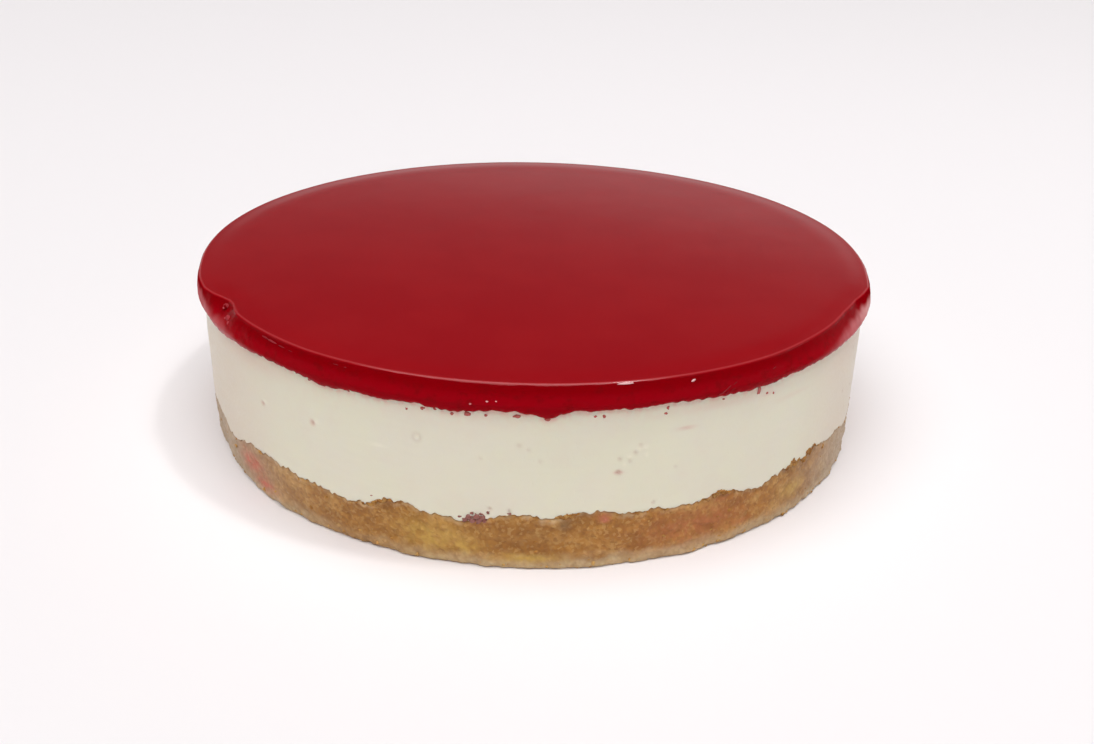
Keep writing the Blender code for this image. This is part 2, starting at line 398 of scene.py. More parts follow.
def build_base():
    """The pressed crumbs: a craggy side and a jagged top line, with a flat foot."""
    shares = np.concatenate([np.linspace(1.0, 0.10, 31), [0.075, 0.05, 0.028, 0.012]])
    feet = np.zeros(FACETS)
    side = side_radii(base_side, feet, base_tops, shares)
    line = crumb_line - SEAM
    heights = shares[:, None] * line[None, :]
    relief, tone, deep = crumb_relief(side, heights)
    pits = smooth_step(0.30, 0.55, grid_noise(side, heights, (3.4 * MM, 2.4 * MM), 71.0))
    relief = relief - PIT_DEPTH * pits
    # Pits count as deep too, for the painted shade.
    deep = np.maximum(deep, 0.8 * pits)
    edge = smooth_step(0.0, 0.9 * MM, line[None, :] - heights)
    side = side + relief * (0.35 + 0.65 * edge) - TOP_EDGE_BACK * (1.0 - edge)
    inner = [0.3 * RIM_RADIUS, 0.86 * RIM_RADIUS, 0.95 * RIM_RADIUS, 0.985 * RIM_RADIUS]
    flat = base_tops.mean() + LAYER_GAP / 2
    top_radii = np.array([np.full(COLUMNS, radius) for radius in inner])
    wavy = smooth_step(0.86, 1.0, top_radii / RIM_RADIUS)
    top_heights = flat + (line[None, :] - flat) * wavy - INNER_SEAM
    foot = side[-1] - FOOT_EDGE_BACK
    under_radii = np.array([foot, foot * 0.985, foot * 0.6, foot * 0.2])
    under_heights = np.zeros(under_radii.shape)
    radii = np.vstack([top_radii, side, under_radii])
    rows = np.vstack([top_heights, heights, under_heights])
    rest_top, rest_under = np.full(top_radii.shape, 0.5), np.full(under_radii.shape, 0.5)
    uneven = grid_noise(radii, rows, (3.5 * MM, 2.0 * MM), 103.0)
    # How strong the painted foot light is: weaker around -117 degrees.
    foot_light_strength = 1.0 - 0.7 * np.exp(-((turn_apart(DEGREES, -117.0) / 9.0) ** 2))
    marks = {kind: stain(kind, rows) for kind in ("yolk", "berry", "pale", "char", "toast", "rosy")}
    marks["tone"] = np.vstack([rest_top, tone, rest_under])
    marks["deep"] = np.vstack([rest_top * 0.0, deep, rest_under * 0.0])
    # Painted light: the crumbs paler towards the foot, as if lit by the floor.
    marks["foot"] = (1.0 - smooth_step(1.4 * MM, 5.4 * MM, rows + 1.6 * MM * uneven)) * foot_light_strength[None, :]
    marks["crest"] = 1.0 - smooth_step(0.2 * MM, 1.8 * MM, line[None, :] - rows + 0.8 * MM * uneven)
    return turned_mesh("base_of_crumbs", radii, rows, marks)


def grains(tree, place):
    """Three lots drawn for each grain of the crumbs; the grains are small cells with wavering edges."""
    stray = put(tree, "ShaderNodeTexNoise", Vector=place, Scale=1.0 / (1.6 * MM), Detail=2.0).outputs["Color"]
    stray = put(tree, "ShaderNodeVectorMath", {"operation": "SCALE"}, i0=stray, Scale=0.7 * MM).outputs[0]
    stray = put(tree, "ShaderNodeVectorMath", {"operation": "ADD"}, i0=place, i1=stray).outputs[0]
    cells = put(tree, "ShaderNodeTexVoronoi", Vector=stray, Scale=1.0 / (0.78 * MM), Randomness=1.0)
    return put(tree, "ShaderNodeSeparateColor", Color=cells.outputs["Color"]).outputs


def crumb_material():
    """Biscuit: golden brown that drifts from place to place, with yellow, berry, pale and dark stains,
    painted light at the foot and painted shade between the crumbs.
    """
    material, tree, shader = new_material("biscuit_crumbs")
    place = own_place(tree)
    fleck = noise_of(tree, place, 0.75 * MM, 4.0, 0.65)
    tone = worked_out(tree, "MULTIPLY_ADD", fleck, 0.6, mark_of(tree, "tone"))
    ramp = put(tree, "ShaderNodeValToRGB", Fac=spread(tree, tone, 0.25, 1.35))
    stops = ramp.color_ramp.elements
    stops[0].color = (0.285, 0.113, 0.022, 1.0)
    stops[1].color = (0.580, 0.325, 0.098, 1.0)
    stops.new(0.5).color = (0.425, 0.192, 0.039, 1.0)
    colour = ramp.outputs["Color"]
    patchy = spread(tree, noise_of(tree, place, 2.2 * MM, 3.0, 0.6), 0.32, 0.62)

    def even(mark, strength):
        return scaled(tree, mark_of(tree, mark), strength)

    def blotchy(mark, least, most):
        return even(mark, spread(tree, patchy, 0.0, 1.0, least, most))

    colour = mix_colours(tree, blotchy("toast", 0.35, 0.65), colour, (0.300, 0.125, 0.028))
    lot = grains(tree, place)
    colour = mix_colours(tree, spread(tree, lot["Red"], 0.60, 1.00, 0.0, 0.42), colour, (0.62, 0.385, 0.140))
    dark = spread(tree, lot["Green"], 0.66, 0.98, 0.0, 0.50)
    colour = mix_colours(tree, dark, colour, (0.24, 0.098, 0.024))
    for share, shade in (
        # Painted light from the floor at the foot.
        (blotchy("foot", 0.65, 0.95), (0.60, 0.450, 0.262)),
        (even("crest", scaled(tree, patchy, 0.8)), (0.56, 0.385, 0.215)),
        (blotchy("yolk", 0.4, 0.95), (0.59, 0.365, 0.082)),
        (even("pale", 0.92), (0.56, 0.455, 0.345)),
        (blotchy("rosy", 0.3, 0.7), (0.47, 0.140, 0.055)),
        (blotchy("berry", 0.5, 1.0), (0.66, 0.190, 0.135)),
        (even("char", 0.6), (0.200, 0.130, 0.070)),
        # Painted shade between the crumbs and in the pits.
        (even("deep", 0.35), (0.230, 0.095, 0.026)),
    ):
        colour = mix_colours(tree, share, colour, shade)
    tree.links.new(colour, shader.inputs["Base Color"])
    tree.links.new(spread(tree, fleck, 0.3, 0.7, 0.60, 0.85), shader.inputs["Roughness"])
    shader.inputs["Specular IOR Level"].default_value = 0.35
    shader.inputs["Subsurface Weight"].default_value = 0.15
    shader.inputs["Subsurface Radius"].default_value = (1.0, 0.55, 0.30)
    shader.inputs["Subsurface Scale"].default_value = 0.8 * MM
    grain = bump(tree, fleck, 0.5, 0.14 * MM)
    tree.links.new(grain, shader.inputs["Normal"])
    return material


# Mousse

# Pinholes listed on the near side: azimuth, height, size, depth
PINHOLES = in_metres((
    (-134.6, 30.8, 0.50, 0.30),
    (-123.4, 31.8, 0.55, 0.35),
    (-91.8, 35.4, 0.60, 0.16),
    (-90.5, 34.3, 0.45, 0.14),
    (-88.9, 31.2, 0.50, 0.12),
    (-97.0, 31.4, 0.45, 0.12),
    (-93.0, 17.2, 0.45, 0.34),
    (-95.7, 17.6, 0.45, 0.34),
    (-74.9, 34.4, 0.45, 0.22),
    (-75.6, 32.5, 0.50, 0.24),
    (-77.8, 31.1, 0.50, 0.26),
    (-76.3, 30.2, 0.42, 0.20),
    (-77.9, 27.4, 0.60, 0.32),
    (-69.4, 27.0, 0.42, 0.14),
    (-72.4, 17.6, 0.45, 0.36),
), 1, 2, 3)

# Small raised flecks: azimuth, height, half width, half height, rise
FLECKS = in_metres((
    (-133.9, 31.7, 0.95, 0.42, 0.16),
    (-122.5, 32.3, 0.75, 0.45, 0.14),
    (-106.1, 35.1, 0.42, 0.42, 0.20),
    (-74.2, 33.7, 0.70, 0.42, 0.18),
    (-75.1, 33.3, 0.45, 0.60, 0.16),
    (-76.4, 31.5, 0.60, 0.42, 0.18),
    (-74.0, 31.6, 0.42, 0.50, 0.14),
    (-77.1, 29.5, 0.42, 0.42, 0.12),
    (-112.0, 30.9, 2.20, 0.42, 0.06),
), 1, 2, 3, 4)

# The crater of one larger bubble: azimuth, height, and its ring's radius, depth and half width
CRATER = (-106.1, 35.1 * MM, 0.95 * MM, 0.24 * MM, 0.42 * MM)

# From this depth on a pinhole gets the full painted shade
DARK_HOLE_DEPTH = 0.30 * MM

# Faint scrapes and swells of the mousse's side: depth, length across, length up, seed
MOUSSE_SWELLS = ((0.05 * MM, 9.0 * MM, 1.4 * MM, 5.0), (0.07 * MM, 14.0 * MM, 5.0 * MM, 9.0))
MOUSSE_FOOT_BACK = 0.10 * MM

# Faint pink smears: azimuth, height, half width in degrees, half height, strength
SMEARS = in_metres((
    (-68.1, 37.4, 1.3, 0.45, 0.42),
    (-77.9, 27.4, 0.55, 0.42, 0.85),
    (-123.4, 31.8, 0.45, 0.70, 0.60),
    (-134.6, 30.8, 0.40, 0.45, 0.55),
    (-54.0, 41.2, 1.2, 0.6, 0.32),
    (-136.0, 42.0, 9.0, 2.6, 0.16),
    (-48.0, 38.0, 3.8, 0.8, 0.12),
    (-61.0, 42.0, 8.0, 1.2, 0.16),
    (-28.0, 40.0, 12.0, 5.0, 0.10),
    (38.0, 38.0, 2.6, 1.6, 0.28),
    (118.0, 33.0, 0.6, 0.6, 0.70),
    (163.0, 29.0, 1.6, 0.5, 0.40),
), 1, 3)


def pinholes():
    """The listed pinholes, and others like them round the far side."""
    draw = random.Random(12)
    holes = list(PINHOLES)
    for _ in range(30):
        azimuth = draw.uniform(-32.0, 200.0)
        height = draw.uniform(18.0, 42.0) * MM
        size = draw.uniform(0.42, 0.65) * MM
        holes.append((azimuth, height, size, size * draw.uniform(0.25, 0.6)))
    return holes


def end_share():
    """How near each column is to the cake's two ends, where painted light makes the jelly paler and pinker
    and painted shade makes the mousse darker and warmer.
    """
    away = turn_apart(DEGREES, -90.0)
    left = smooth_step(34.0, 58.0, -away) * (1.0 - smooth_step(78.0, 125.0, -away))
    right = smooth_step(40.0, 60.0, away) * (1.0 - smooth_step(85.0, 130.0, away))
    return np.maximum(left, right)


def with_holes_and_flecks(side, heights):
    """The mousse's side with its small relief, and where its holes and its flecks show."""
    around = np.radians(1.0) * MOUSSE_RADIUS
    hole = np.zeros(side.shape)
    for azimuth, height, size, depth in pinholes():
        across = turn_apart(DEGREES, azimuth) * around
        apart = np.hypot(across[None, :], heights - height) / size
        side = side - depth * np.exp(-(apart**2))
        # Painted shade in the pinholes, growing with their depth.
        hole = np.maximum(hole, np.exp(-(apart**2)) * min(depth / DARK_HOLE_DEPTH, 1.0))
    azimuth, height, ring, depth, width = CRATER
    apart = np.hypot(turn_apart(DEGREES, azimuth)[None, :] * around, heights - height)
    trench = np.exp(-(((apart - ring) / width) ** 2))
    side = side - depth * trench
    # Painted shade in the crater's ring too.
    hole = np.maximum(hole, 0.3 * trench)
    fleck = np.zeros(side.shape)
    for azimuth, height, half_width, half_height, rise in FLECKS:
        across = turn_apart(DEGREES, azimuth) * around / half_width
        share = spot(across, (heights - height) / half_height)
        side = side + rise * share
        fleck = np.maximum(fleck, share)
    return side, hole * (1.0 - fleck), fleck


def build_mousse():
    """The set mousse: smooth, with faint scrapes, pinholes and a foot pressed onto the crumbs."""
    shares = np.concatenate([[1.0, 0.985], np.linspace(0.965, 0.035, 56), [0.018, 0.006, 0.0]])
    side = side_radii(mousse_side, mousse_feet, mousse_tops, np.clip(shares, 0.03, 0.97))
    line = crumb_line + SEAM
    top = MOUSSE_TOP - INNER_SEAM
    heights = line[None, :] + shares[:, None] * (top - line[None, :])
    for depth, across, up, seed in MOUSSE_SWELLS:
        side = side + depth * grid_noise(side, heights, (across, up), seed)
    side, hole, fleck = with_holes_and_flecks(side, heights)
    pink = np.zeros(side.shape)
    for azimuth, height, half_width, half_height, strength in SMEARS:
        across = turn_apart(DEGREES, azimuth) / half_width
        pink = np.maximum(pink, strength * spot(across, (heights - height) / half_height))
    below = heights - skirt_line[None, :]
    blush = 0.85 * np.exp(-((below / (0.9 * MM)) ** 2)) + 0.16 * np.exp(-((below / (3.5 * MM)) ** 2))
    foot_round = smooth_step(0.0, 0.5 * MM, heights - line[None, :])
    side = side - MOUSSE_FOOT_BACK * (1.0 - foot_round)
    flat = mousse_feet.mean() - LAYER_GAP / 2
    inner = np.array([0.985, 0.95, 0.86, 0.3]) * RIM_RADIUS
    under_radii = np.array([np.full(COLUMNS, radius) for radius in inner])
    wavy = smooth_step(0.86, 1.0, under_radii / RIM_RADIUS)
    under_heights = flat + (line[None, :] - flat) * wavy + INNER_SEAM
    top_radii = np.array([np.full(COLUMNS, share * MOUSSE_RADIUS) for share in (0.3, 0.9, 0.992)])
    top_heights = np.full(top_radii.shape, top)
    radii = np.vstack([top_radii, side, under_radii])
    rows = np.vstack([top_heights, heights, under_heights])
    no_top, no_under = np.zeros(top_radii.shape), np.zeros(under_radii.shape)
    marks = {"hole": hole, "pink": pink, "blush": blush, "fleck": fleck}
    marks = {name: np.vstack([no_top, values, no_under]) for name, values in marks.items()}
    # Painted shade at the two ends, where the mousse's side turns away.
    marks["ends"] = np.repeat(end_share()[None, :], radii.shape[0], 0)
    return turned_mesh("mousse_layer", radii, rows, marks)


def mousse_material():
    """Off-white mousse: a soft satin skin with a little depth, faint drifts of tone and tiny pores."""
    material, tree, shader = new_material("yogurt_mousse_skin")
    place = own_place(tree)
    drift = spread(tree, noise_of(tree, place, 17.0 * MM, 2.0), 0.35, 0.65)
    colour = mix_colours(tree, drift, (0.762, 0.722, 0.590), (0.762, 0.734, 0.580))
    # Painted shade: darker and warmer at the two ends.
    colour = mix_colours(tree, scaled(tree, mark_of(tree, "ends"), 0.9), colour, (0.725, 0.630, 0.510))
    cloud = spread(tree, noise_of(tree, place, 7.0 * MM, 3.0), 0.45, 0.75, 0.0, 0.3)
    colour = mix_colours(tree, cloud, colour, (0.745, 0.670, 0.555))
    colour = mix_colours(tree, mark_of(tree, "pink"), colour, (0.62, 0.25, 0.20))
    patchy = spread(tree, noise_of(tree, place, 1.7 * MM, 3.0, 0.6), 0.36, 0.60)
    colour = mix_colours(tree, scaled(tree, mark_of(tree, "blush"), patchy), colour, (0.80, 0.48, 0.40))
    # Painted shade in the pinholes and the crater.
    colour = mix_colours(tree, scaled(tree, mark_of(tree, "hole"), 0.6), colour, (0.48, 0.33, 0.25))
    colour = mix_colours(tree, scaled(tree, mark_of(tree, "fleck"), 0.6), colour, (0.86, 0.82, 0.66))
    tree.links.new(colour, shader.inputs["Base Color"])
    fine = noise_of(tree, place, 0.8 * MM, 3.0)
    tree.links.new(spread(tree, fine, 0.3, 0.7, 0.38, 0.55), shader.inputs["Roughness"])
    shader.inputs["Subsurface Weight"].default_value = 0.25
    shader.inputs["Subsurface Radius"].default_value = (1.0, 0.75, 0.45)
    shader.inputs["Subsurface Scale"].default_value = 2.5 * MM
    pore = put(tree, "ShaderNodeTexVoronoi", Vector=place, Scale=1.0 / (1.5 * MM)).outputs["Distance"]
    pores = spread(tree, pore, 0.06, 0.18)
    normal = bump(tree, pores, 0.25, 0.10 * MM)
    normal = bump(tree, fine, 0.25, 0.06 * MM, normal)
    tree.links.new(normal, shader.inputs["Normal"])
    return material


# Jelly

RIM_ROUND = 0.9 * MM
RIM_DIP = 0.25 * MM

# How far the rim stands out of its circle or back from it: azimuth, distance
RIM_REACH = in_metres((
    (-180.0, 0.2),
    (-168.0, 0.4),
    (-160.0, 1.0),
    (-155.0, 0.8),
    (-152.0, -0.5),
    (-150.0, -1.8),
    (-147.8, -2.9),
    (-146.0, -2.8),
    (-142.0, -1.1),
    (-138.0, -0.8),
    (-132.0, -0.5),
    (-124.0, 0.0),
    (-54.0, 0.0),
    (-46.0, -0.7),
    (-38.0, -1.1),
    (-31.0, -1.7),
    (-25.0, -1.2),
    (-21.5, 0.0),
    (-18.0, 0.8),
    (-11.0, 0.2),
    (0.0, 0.0),
    (60.0, 0.2),
    (120.0, 0.3),
    (180.0, 0.2),
), 1)


def rim_reach():
    azimuths, distances = zip(*RIM_REACH)
    return np.interp(turn_apart(DEGREES, 0.0), azimuths, distances)


# Grid lines on the jelly's top, as shares of the rim's radius, and on its skirt, as shares of the way down
TOP_LINES = (0.12, 0.25, 0.38, 0.50, 0.60, 0.68, 0.75, 0.81, 0.86, 0.90, 0.93, 0.95, 0.965, 0.977, 0.985)
SKIRT_LINES = (0.12, 0.25, 0.38, 0.5, 0.62, 0.73, 0.82, 0.89, 0.94, 0.975, 1.0)

# The flared side below the rim: share of the way down, radius, height
FLARE = (
    (0.35, RIM_RADIUS + 0.75 * MM, CAKE_TOP - 2.6 * MM),
    (0.75, RIM_RADIUS + 1.35 * MM, CAKE_TOP - 4.4 * MM),
    (1.0, JELLY_RADIUS, MOUSSE_TOP + 0.6 * MM),
)

# Swells of the jelly's side: depth, length across, length up, seed
JELLY_SWELLS = ((0.12 * MM, 5.0 * MM, 4.0 * MM, 17.0), (0.07 * MM, 1.5 * MM, 1.2 * MM, 19.0))
LONG_SWELL = 0.15 * MM
TOP_SWELL = 0.03 * MM
MOUSSE_CLEARANCE = 0.10 * MM


def jelly_profile():
    """From the top's middle to the widest line: radius, height, and shares of rim, side and the rim's painted
    highlight line.
    """
    points = []
    for share in TOP_LINES:
        height = CAKE_TOP - RIM_DIP * float(smooth_step(0.93, 0.99, share))
        points.append((share * RIM_RADIUS, height, float(smooth_step(0.88, 0.985, share)), 0.0, 0.0))
    centre = (RIM_RADIUS - RIM_ROUND, CAKE_TOP - RIM_DIP - RIM_ROUND)
    for turn in np.linspace(90.0, 15.0, 11):
        radius = centre[0] + RIM_ROUND * math.cos(math.radians(turn))
        height = centre[1] + RIM_ROUND * math.sin(math.radians(turn))
        line = float(smooth_step(88.0, 72.0, turn) * smooth_step(42.0, 58.0, turn))
        points.append((radius, height, 1.0, float(smooth_step(50.0, 15.0, turn)), line))
    along, radii, heights = zip((0.0, *points[-1][:2]), *FLARE)
    for share in np.linspace(0.08, 1.0, 13):
        radius, height = float(np.interp(share, along, radii)), float(np.interp(share, along, heights))
        points.append((radius, height, (1.0 - share) ** 1.2, 1.0, 0.0))
    return np.array(points)


def thin_ends(radii, heights, side, widest):
    """Where the jelly is thin and pale at the cake's two ends, partly its own colour and partly painted light
    shining through, and where that painted light is strongest, at the right end.
    """
    away = turn_apart(DEGREES, -90.0)[None, :]
    ends = np.repeat(end_share()[None, :], radii.shape[0], 0)
    streaks = 0.80 + 0.35 * grid_noise(radii, heights, (2.2 * MM, 5.0 * MM), 37.0)
    rise_left = 1.7 * MM * ends**3.0 + 2.3 * MM * smooth_step(59.0, 67.0, -away)
    rise = np.where(away > 0.0, 3.0 * MM * ends**1.5, rise_left)
    blots = 0.8 * MM * grid_noise(radii, heights, (4.0 * MM, 3.0 * MM), 41.0)
    pale_from = widest + 0.2 * MM + rise + blots * ends
    low = 1.0 - smooth_step(pale_from - 2.4 * MM, pale_from, heights)
    thin = np.clip(ends * streaks, 0.0, 1.0) * low * side
    return thin, thin * smooth_step(58.0, 72.0, away) * (1.0 - smooth_step(85.0, 110.0, away))


def build_jelly():
    """The jelly: a smooth top, a crisp rim with one chip, a flared side and an uneven skirt."""
    profile = jelly_profile()
    radii, heights, rim, side, line = (np.repeat(profile[:, i : i + 1], COLUMNS, 1) for i in range(5))
    radii = radii + rim * rim_reach()[None, :]
    widest = profile[-1, 1]
    shares = np.array(SKIRT_LINES)
    lip = MOUSSE_RADIUS + MOUSSE_CLEARANCE
    skirt_radii = np.repeat((lip + (JELLY_RADIUS - lip) * np.sqrt(1.0 - shares**2.4))[:, None], COLUMNS, 1)
    skirt_heights = widest + (skirt_line[None, :] - widest) * shares[:, None]
    full, none = np.ones(skirt_radii.shape), np.zeros(skirt_radii.shape)
    radii, heights = np.vstack([radii, skirt_radii]), np.vstack([heights, skirt_heights])
    side, line = np.vstack([side, full]), np.vstack([line, none])
    for swell, across, up, seed in JELLY_SWELLS:
        radii = radii + swell * side * grid_noise(radii, heights, (across, up), seed)
    radii = radii + LONG_SWELL * side * ring_noise(0.0, 24.0 * MM, 23.0)[None, :]
    lift = TOP_SWELL * grid_noise(radii, heights, (26.0 * MM, 26.0 * MM), 29.0)
    heights = heights + lift * (1.0 - side)
    thin, painted_end_light = thin_ends(radii, heights, side, widest)
    depth = CAKE_TOP - heights
    set_back = smooth_step(0.3 * MM, 1.0 * MM, -rim_reach())[None, :]
    away = np.abs(turn_apart(DEGREES, -90.0))[None, :]
    turned_away = smooth_step(52.0, 66.0, away) * (1.0 - smooth_step(100.0, 125.0, away))
    below_rim = smooth_step(RIM_DIP, RIM_DIP + 0.25 * MM, depth)
    dull = np.maximum(0.85 * side, np.maximum(0.85 * set_back, turned_away) * below_rim)
    # Painted shade: the side is darkened just under the rim, fading lower down and where the ends get painted
    # light.
    shade = side * (1.0 - smooth_step(1.6 * MM, 4.2 * MM, depth)) * (1.0 - thin)
    wall = MOUSSE_RADIUS + SEAM
    inner = [wall, wall, wall - 0.4 * MM, 0.9 * RIM_RADIUS, 0.6 * RIM_RADIUS, 0.2 * RIM_RADIUS]
    inner_radii = np.repeat(np.array(inner)[:, None], COLUMNS, 1)
    inner_heights = np.full(inner_radii.shape, MOUSSE_TOP)
    inner_heights[0] = skirt_line + 0.04 * MM
    inner_heights[1] = MOUSSE_TOP - 0.3 * MM
    rest = np.zeros(inner_radii.shape)
    # The rim's painted highlight line, stronger towards the front.
    line = line * (0.42 + 0.25 * np.exp(-((away / 22.0) ** 2)))
    marks = {"thin": thin, "painted_end_light": painted_end_light, "shade": shade, "side": side, "line": line, "dull": dull}
    marks = {name: np.vstack([values, rest]) for name, values in marks.items()}
    radii, heights = np.vstack([radii, inner_radii]), np.vstack([heights, inner_heights])
    return turned_mesh("jelly_top", radii, heights, marks)


def jelly_material():
    """Deep red jelly: smooth on top, with painted shade just under the rim and brighter below, painted light
    where it is thin at the ends, and a painted highlight along the rim.
    """
    material, tree, shader = new_material("red_fruit_jelly")
    place = own_place(tree)
    drift = spread(tree, noise_of(tree, place, 22.0 * MM, 2.0), 0.35, 0.65)
    colour = mix_colours(tree, drift, (0.285, 0.0032, 0.0070), (0.298, 0.0045, 0.0080))
    colour = mix_colours(tree, mark_of(tree, "side"), colour, (0.282, 0.0012, 0.0055))
    # Painted shade just under the rim.
    colour = mix_colours(tree, mark_of(tree, "shade"), colour, (0.215, 0.0004, 0.0028))
    mottle = spread(tree, noise_of(tree, place, 2.4 * MM, 3.0, 0.65), 0.48, 0.70, 0.0, 0.45)
    colour = mix_colours(tree, scaled(tree, mark_of(tree, "side"), mottle), colour, (0.150, 0.0030, 0.0035))
    # Thin jelly at the ends: partly its own paler colour, partly painted light through it; paler still at the
    # right end.
    colour = mix_colours(tree, scaled(tree, mark_of(tree, "thin"), 0.9), colour, (0.52, 0.145, 0.155))
    colour = mix_colours(tree, scaled(tree, mark_of(tree, "painted_end_light"), 0.8), colour, (0.78, 0.460, 0.440))
    # Painted highlight along the rim.
    colour = mix_colours(tree, mark_of(tree, "line"), colour, (0.42, 0.058, 0.064))
    tree.links.new(colour, shader.inputs["Base Color"])
    shader.inputs["IOR"].default_value = 1.35
    gleam = spread(tree, mark_of(tree, "dull"), 0.0, 1.0, 0.5, 0.0)
    tree.links.new(gleam, shader.inputs["Specular IOR Level"])
    shader.inputs["Subsurface Weight"].default_value = 0.20
    shader.inputs["Subsurface Radius"].default_value = (1.0, 0.12, 0.10)
    shader.inputs["Subsurface Scale"].default_value = 3.0 * MM
    fine = noise_of(tree, place, 1.4 * MM, 2.0)
    tree.links.new(spread(tree, fine, 0.3, 0.7, 0.09, 0.14), shader.inputs["Roughness"])
    wave = noise_of(tree, place, 12.0 * MM, 2.0)
    normal = bump(tree, wave, 0.12, 0.25 * MM)
    normal = bump(tree, fine, 0.05, 0.06 * MM, normal)
    tree.links.new(normal, shader.inputs["Normal"])
    return material


# Small things: specks on the mousse, bubbles and scuffs on the jelly with painted highlights, loose crumbs
# and bits of berry

# Specks of jelly below the skirt: azimuth, height, length down, width
SPECKS = in_metres((
    (-107.4, 42.4, 0.7, 0.8),
    (-105.1, 43.2, 1.1, 1.3),
    (-103.3, 43.4, 0.8, 0.9),
    (-100.9, 42.7, 0.8, 0.9),
    (-98.8, 43.0, 1.3, 1.6),
    (-96.3, 43.1, 0.8, 0.9),
    (-92.2, 43.2, 0.9, 1.9),
    (-88.0, 42.6, 1.1, 1.5),
    (-81.5, 43.1, 0.8, 0.9),
    (-80.3, 43.0, 0.9, 0.9),
    (-71.2, 43.6, 0.9, 0.8),
    (-71.5, 42.2, 0.7, 0.9),
    (-55.9, 43.0, 2.4, 1.1),
    (-54.2, 41.4, 0.6, 0.9),
    (-52.8, 40.8, 0.7, 0.6),
    (-62.4, 43.2, 0.6, 0.8),
    (-121.6, 43.8, 1.3, 1.1),
    (-120.6, 43.7, 1.0, 1.2),
    (-123.4, 43.9, 0.8, 1.0),
    (-126.0, 44.5, 0.8, 0.8),
    (-116.4, 44.0, 0.6, 1.0),
), 1, 2, 3)

SPECK_HALF_DEPTH = 0.20 * MM
SPECK_SUNK = 0.06 * MM

# Tiny bubbles and scuffs on the jelly's side, dull red up to pale painted highlights: azimuth, height, half
# length, half width, tilt, brightness of the painted highlight
SCUFFS = in_metres((
    (-132.6, 50.50, 1.40, 0.30, -2.0, 0.14),
    (-130.8, 50.35, 1.70, 0.34, -3.0, 0.18),
    (-128.6, 50.15, 1.30, 0.26, -2.0, 0.12),
    (-126.6, 50.00, 0.80, 0.18, -2.0, 0.09),
    (-118.2, 50.30, 0.90, 0.14, 0.0, 0.11),
    (-116.6, 50.20, 0.45, 0.13, 0.0, 0.11),
    (-96.0, 47.40, 0.34, 0.24, 0.0, 0.75),
    (-94.8, 47.50, 0.36, 0.26, 0.0, 0.80),
    (-98.2, 46.60, 0.30, 0.24, 0.0, 0.60),
    (-67.8, 50.10, 0.62, 0.32, 25.0, 0.90),
    (-63.8, 45.60, 0.70, 0.16, 30.0, 0.12),
    (-63.1, 46.20, 0.80, 0.15, 35.0, 0.15),
    (-62.4, 46.90, 0.90, 0.15, 38.0, 0.12),
    (-61.3, 47.60, 0.80, 0.13, 30.0, 0.10),
    (-62.6, 45.70, 0.60, 0.13, 25.0, 0.10),
    (-61.6, 46.30, 0.70, 0.12, 30.0, 0.09),
    (-54.0, 48.60, 0.70, 0.13, 20.0, 0.12),
    (33.0, 48.60, 0.90, 0.16, 0.0, 0.50),
    (86.0, 47.50, 0.38, 0.26, 0.0, 0.80),
    (87.3, 47.20, 0.28, 0.20, 0.0, 0.60),
    (149.0, 49.90, 1.20, 0.18, 4.0, 0.50),
), 1, 2, 3)

# Bubbles in the rim's chip, dark red up to a pale painted highlight: azimuth, height, radius from the axis,
# half size, brightness of the painted highlight
CHIP_BUBBLES = in_metres((
    (-147.4, 50.0, 97.8, 1.25, 0.16),
    (-147.2, 50.1, 98.3, 0.90, 0.02),
    (-147.0, 50.2, 98.9, 0.40, 0.38),
    (-144.2, 48.9, 99.3, 1.30, 0.20),
    (-143.3, 48.2, 100.0, 0.85, 0.26),
    (-145.2, 48.4, 99.7, 0.60, 0.34),
    (-150.0, 48.4, 99.5, 0.80, 0.12),
), 1, 2, 3)


def lump_mesh(name, lumps, roughness, seed, tones=None):
    """One mesh of many uneven lumps; a lump is its place, its half sizes (out, across, up) and its tilt."""
    draw = random.Random(seed)
    joined = bmesh.new()
    tone = joined.verts.layers.float.new("tone")
    for index, (place, halves, tilt) in enumerate(lumps):
        angle = math.atan2(place.y, place.x)
        shift = Vector([draw.uniform(-50.0, 50.0) for _ in range(3)])
        tilted = Matrix.Rotation(math.radians(tilt), 4, "X")
        turn = Matrix.Translation(place) @ Matrix.Rotation(angle, 4, "Z") @ tilted
        made = bmesh.ops.create_icosphere(joined, subdivisions=2, radius=1.0)["verts"]
        for vertex in made:
            swell = 1.0 + roughness * noise.noise(vertex.co * 1.3 + shift)
            vertex.co = turn @ Vector([c * h * swell for c, h in zip(vertex.co, halves)])
            vertex[tone] = tones[index] if tones else 0.5
    mesh = bpy.data.meshes.new(name)
    joined.to_mesh(mesh)
    joined.free()
    mesh.shade_smooth()
    piece = bpy.data.objects.new(name, mesh)
    bpy.context.scene.collection.objects.link(piece)
    return piece


def column_value(values, azimuth):
    return float(values[round(azimuth % 360.0 * COLUMNS / 360.0) % COLUMNS])


def build_specks():
    """Drops and specks that the jelly left on the mousse below its skirt."""
    draw = random.Random(21)
    specks = list(SPECKS)
    for _ in range(34):
        azimuth = draw.uniform(-40.0, 215.0)
        height = column_value(skirt_line, azimuth) - abs(draw.gauss(0.0, 0.9)) * MM
        size = draw.uniform(0.5, 1.2) * MM
        specks.append((azimuth, height, size, size * draw.uniform(0.7, 1.3)))
    lumps = []
    for azimuth, height, tall, wide in specks:
        place = place_on_side(azimuth, height, MOUSSE_RADIUS - SPECK_SUNK)
        lumps.append((place, (SPECK_HALF_DEPTH, wide / 2, tall / 2), 0.0))
    return lump_mesh("jelly_specks", lumps, 0.7, 5)


